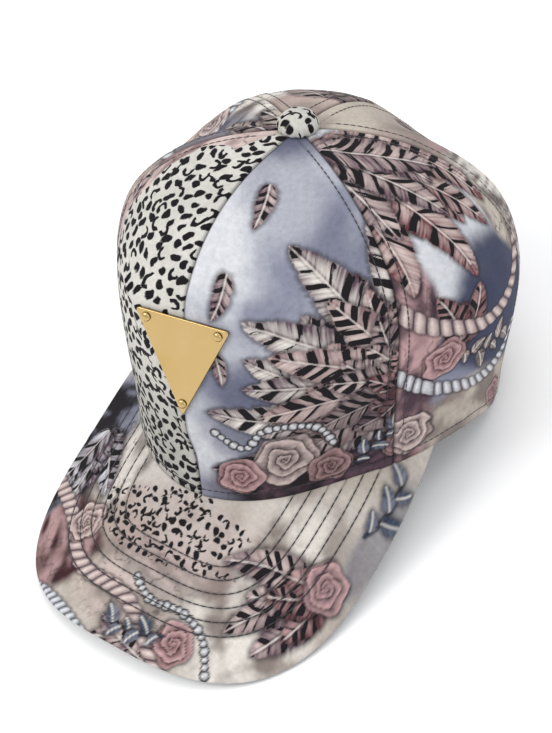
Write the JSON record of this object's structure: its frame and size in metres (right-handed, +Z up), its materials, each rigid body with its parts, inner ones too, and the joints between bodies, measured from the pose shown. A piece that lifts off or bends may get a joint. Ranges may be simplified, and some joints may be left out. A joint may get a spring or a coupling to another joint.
{
  "type": "snapback cap",
  "caption": "Six-panel snapback cap with a curved stitched peak, covered button, three-cornered metal badge and snap strap.",
  "frame": {"origin": "middle of the cap's box on the surface it stands on", "axes": "+Z up, the peak points to -Y, the wearer's left is +X"},
  "size_m": [0.1728, 0.2706, 0.164],
  "materials": {
    "collage_print": "matte printed cotton twill",
    "spotted_print": "matte printed cotton twill, ivory with black spots",
    "peak_print": "matte printed cotton twill with dark stitch rows",
    "band_cotton": "plain black cotton",
    "strap_plastic": "satin moulded plastic",
    "polished_gold": "polished gold plating"
  },
  "bodies": {
    "root": {"front_left_panel": "collage_print", "side_left_panel": "collage_print", "back_left_panel": "collage_print", "back_right_panel": "collage_print", "side_right_panel": "collage_print", "front_right_panel": "spotted_print", "button": "spotted_print", "peak": "peak_print", "sweatband": "band_cotton", "snap_strap": "strap_plastic", "badge_plate": "polished_gold", "rivet_upper_left": "polished_gold", "rivet_upper_right": "polished_gold", "rivet_lower": "polished_gold"}
  },
  "joints": []
}
